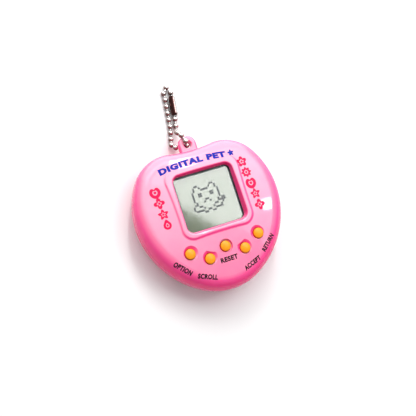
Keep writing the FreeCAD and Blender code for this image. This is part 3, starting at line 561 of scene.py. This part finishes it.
face_tree = BVHTree.FromObject(nodes["front_shell"], bpy.context.evaluated_depsgraph_get())


def cut_in_cells(shape):
    """Cut a flat mesh along a fine square grid, so that it can follow a curved face."""
    for normal in (Vector((1, 0, 0)), Vector((0, 1, 0))):
        reaches = [vert.co.dot(normal) for vert in shape.verts]
        low, high = min(reaches), max(reaches)
        for step in range(1, math.ceil((high - low) / CUT_STEP)):
            bmesh.ops.bisect_plane(shape, geom=shape.verts[:] + shape.edges[:] + shape.faces[:],
                                   plane_co=normal * (low + step * CUT_STEP), plane_no=normal)


def lay_on_face(name, shape, material):
    """Lay a flat mesh on the domed face as a thin film of ink, closed all round."""
    cut_in_cells(shape)
    for vert in shape.verts:
        hit, normal, _, _ = face_tree.ray_cast(Vector((vert.co.x, vert.co.y, ABOVE_FACE)), -UP)
        vert.co = hit - normal * INK_ROOT
    thicken(shape, INK_ROOT + INK_LIFT)
    new_piece(name, to_mesh(name, shape), material, "root")


def flat_text(words, height, length, weight):
    """Words in the built-in typeface as a flat mesh centred on the origin, capitals of the given height."""
    curve = bpy.data.curves.new("words", "FONT")
    curve.body = words
    curve.offset = weight
    curve.space_character = 1.0 + 2 * weight
    curve.resolution_u = 4
    writer = bpy.data.objects.new("words", curve)
    bpy.context.scene.collection.objects.link(writer)
    mesh = bpy.data.meshes.new_from_object(writer.evaluated_get(bpy.context.evaluated_depsgraph_get()))
    bpy.data.objects.remove(writer)
    bpy.data.curves.remove(curve)
    shape = bmesh.new()
    shape.from_mesh(mesh)
    bpy.data.meshes.remove(mesh)
    for axis, span in ((0, length * MM), (1, height * MM)):
        low = min(vert.co[axis] for vert in shape.verts)
        high = max(vert.co[axis] for vert in shape.verts)
        for vert in shape.verts:
            vert.co[axis] = (vert.co[axis] - (low + high) / 2) * span / (high - low)
    return shape


def bend_down(shape, radius):
    """Curve a flat line of words about a circle below it."""
    for vert in shape.verts:
        turn = vert.co.x / radius
        reach = radius + vert.co.y
        vert.co = Vector((reach * math.sin(turn), reach * math.cos(turn) - radius, 0))


# Middle (x, y), turn and length of each key's word, in millimetres and degrees.
LABEL_HEIGHT = 1.75
LABEL_WEIGHT = 0.05
LABELS = {
    "option": (-16.6, -14.0, -46, 7.0),
    "scroll": (-9.1, -19.1, -21, 7.0),
    "reset": (-0.1, -15.4, 0, 6.4),
    "accept": (7.6, -19.3, 20, 7.0),
    "return": (15.3, -14.2, 42, 6.8),
}


def print_labels():
    """One word beside each key."""
    for name, (x, y, turn, length) in LABELS.items():
        shape = flat_text(name.upper(), LABEL_HEIGHT, length, LABEL_WEIGHT)
        put(shape, x, y, turn)
        lay_on_face(f"label_{name}", shape, black_ink)


ICON_STEPS = 60


def radial(radius_at, size):
    """A closed outline from its radius at each angle, counted from straight up."""
    turns = [math.tau * step / ICON_STEPS for step in range(ICON_STEPS)]
    return [Vector((-math.sin(turn), math.cos(turn), 0)) * radius_at(turn) * size * MM for turn in turns]


def spiked(count, depth):
    """Radius of a star with straight spikes."""
    return lambda turn: 1 - depth * (1 - abs(1 - 2 * (turn * count / math.tau % 1)))


def petalled(count, depth):
    """Radius of a flower with round petals."""
    return lambda turn: 1 - depth * (1 - abs(math.cos(turn * count / 2)))


def heart(turn):
    """Radius of a heart with its point down."""
    from_top = min(turn, math.tau - turn)
    return 0.55 + 0.45 * math.sin(min(from_top * 2, math.pi / 2)) + 0.12 * max(0, from_top - 2.2)


def drop(turn):
    """Radius of a drop with its point up."""
    from_top = min(turn, math.tau - turn)
    return 0.72 + 0.4 * max(0, 1 - from_top / 0.8) ** 1.5


ICONS = {
    "star": spiked(5, 0.5), "flower": petalled(5, 0.4), "heart": heart, "sun": spiked(8, 0.32),
    "clover": petalled(4, 0.5), "drop": drop,
}
ICON_SIZE = 1.95
ICON_INSIDE = 0.45 * ICON_SIZE
ICON_SPOT = 0.25 * ICON_SIZE
LEFT_COLUMN = ((-17.9, 13.6), (-17.3, 1.6), ("heart", "clover", "star", "drop"))
RIGHT_COLUMN = ((15.3, 15.6), (16.6, -0.6), ("flower", "sun", "heart", "star", "clover"))


def icon(name):
    """A chunky outlined icon with a solid spot in its middle."""
    shape = bmesh.new()
    ring_of(shape, radial(ICONS[name], ICON_SIZE), radial(ICONS[name], ICON_INSIDE))
    disc_of(shape, radial(ICONS[name], ICON_SPOT))
    return shape


def print_icons():
    """A column of icons down each side of the window."""
    for side, (start, end, names) in (("left", LEFT_COLUMN), ("right", RIGHT_COLUMN)):
        for number, name in enumerate(names):
            share = number / (len(names) - 1)
            shape = icon(name)
            put(shape, start[0] + (end[0] - start[0]) * share, start[1] + (end[1] - start[1]) * share, 0)
            lay_on_face(f"icon_{side}_{number}_{name}", shape, crimson_ink)


TITLE = "DIGITAL PET"
TITLE_HEIGHT = 2.35
TITLE_LENGTH = 25.0
TITLE_WEIGHT = 0.075
TITLE_BEND = 90 * MM
TITLE_PLACE = (-2.0, 20.6)
STAR_SIZE = 1.25
STAR_PLACE = (12.5, 19.7)


def print_title():
    """The title on its shallow arc over the window, and the star that ends it."""
    shape = flat_text(TITLE, TITLE_HEIGHT, TITLE_LENGTH, TITLE_WEIGHT)
    bend_down(shape, TITLE_BEND)
    put(shape, *TITLE_PLACE, 0)
    lay_on_face("title_print", shape, blue_ink)
    shape = bmesh.new()
    disc_of(shape, radial(ICONS["star"], STAR_SIZE))
    put(shape, *STAR_PLACE, 0)
    lay_on_face("title_star", shape, blue_ink)


# ---- Stage -----------------------------------------------------------------------------------------------

CAMERA_PLACE = Vector((-97.3, -21.1, 335.6)) * MM
CAMERA_TURN = Euler([math.radians(turn) for turn in (9.21, -14.44, -18.68)])
CAMERA_LENS = 84.4


def camera():
    """The camera, above the toy and to its left."""
    data = bpy.data.cameras.new("camera")
    data.lens = CAMERA_LENS
    data.sensor_width = 36.0
    data.clip_start = 0.01
    data.clip_end = 20.0
    item = bpy.data.objects.new("camera", data)
    item.location = CAMERA_PLACE
    item.rotation_euler = CAMERA_TURN
    bpy.context.scene.collection.objects.link(item)
    bpy.context.scene.camera = item


def softbox(name, place, aim, size, radiance, roll=0.0):
    """A rectangular lamp that looks at a point; its brightness is given by how bright its face looks."""
    data = bpy.data.lights.new(name, "AREA")
    data.shape = "RECTANGLE"
    data.size, data.size_y = size
    data.energy = radiance * math.pi * size[0] * size[1]
    item = bpy.data.objects.new(name, data)
    item.location = place
    look = (Vector(aim) - Vector(place)).to_track_quat("-Z", "Y").to_matrix()
    item.rotation_euler = (look @ Matrix.Rotation(math.radians(roll), 3, "Z")).to_euler()
    bpy.context.scene.collection.objects.link(item)


def surround():
    """A pale surround, a little darker on the side away from the lamps."""
    world = bpy.data.worlds.new("surround")
    bpy.context.scene.world = world
    world.use_nodes = True
    tree = world.node_tree
    place = tree.nodes.new("ShaderNodeTexCoord")
    turned = tree.nodes.new("ShaderNodeVectorMath")
    turned.operation = "DOT_PRODUCT"
    turned.inputs[1].default_value = Vector((0.2, 0.6, 0.77))
    share = tree.nodes.new("ShaderNodeMapRange")
    share.inputs["From Min"].default_value = -0.6
    share.inputs["From Max"].default_value = 0.9
    tone = tree.nodes.new("ShaderNodeValToRGB")
    tone.color_ramp.elements[0].color = (0.32, 0.32, 0.32, 1.0)
    tone.color_ramp.elements[1].color = (0.6, 0.6, 0.6, 1.0)
    tree.links.new(place.outputs["Generated"], turned.inputs[0])
    tree.links.new(turned.outputs["Value"], share.inputs["Value"])
    tree.links.new(share.outputs["Result"], tone.inputs["Fac"])
    tree.links.new(tone.outputs["Color"], tree.nodes["Background"].inputs["Color"])


def floor():
    """A wide pale floor under the toy."""
    shape = bmesh.new()
    bmesh.ops.create_grid(shape, x_segments=1, y_segments=1, size=3.0)
    item = bpy.data.objects.new("floor", to_mesh("floor", shape, smooth=False))
    bpy.context.scene.collection.objects.link(item)
    finish = new_material("pale_floor", Roughness=0.7)
    paint(finish, 60.0, (0.84, 0.84, 0.84, 1.0), (0.87, 0.87, 0.87, 1.0))
    item.data.materials.append(finish)


def lamps():
    """A large softbox overhead, a small bright one under it, a broad one behind the tab, and a long strip."""
    softbox("key_softbox", (0.301, 0.221, 0.5), (0.301, 0.221, 0), (0.5, 0.5), 3.1, roll=-43)
    softbox("key_bright", (0.345, 0.012, 0.49), (0.02, 0, 0.014), (0.036, 0.05), 26.0)
    softbox("back_softbox", (-0.12, 0.6, 0.46), (0, 0, 0.01), (0.6, 0.3), 4.0)
    softbox("rim_strip", (0.127, 0.442, 0.386), (0, 0.02, 0.013), (0.04, 0.3), 34.0)


dress_nodes()
for key_name in KEY_NAMES:
    key_cap(key_name)
    key_skirt(key_name)
display()
print_labels()
print_icons()
print_title()
camera()
surround()
floor()
lamps()
bpy.context.scene.view_settings.view_transform = "Standard"
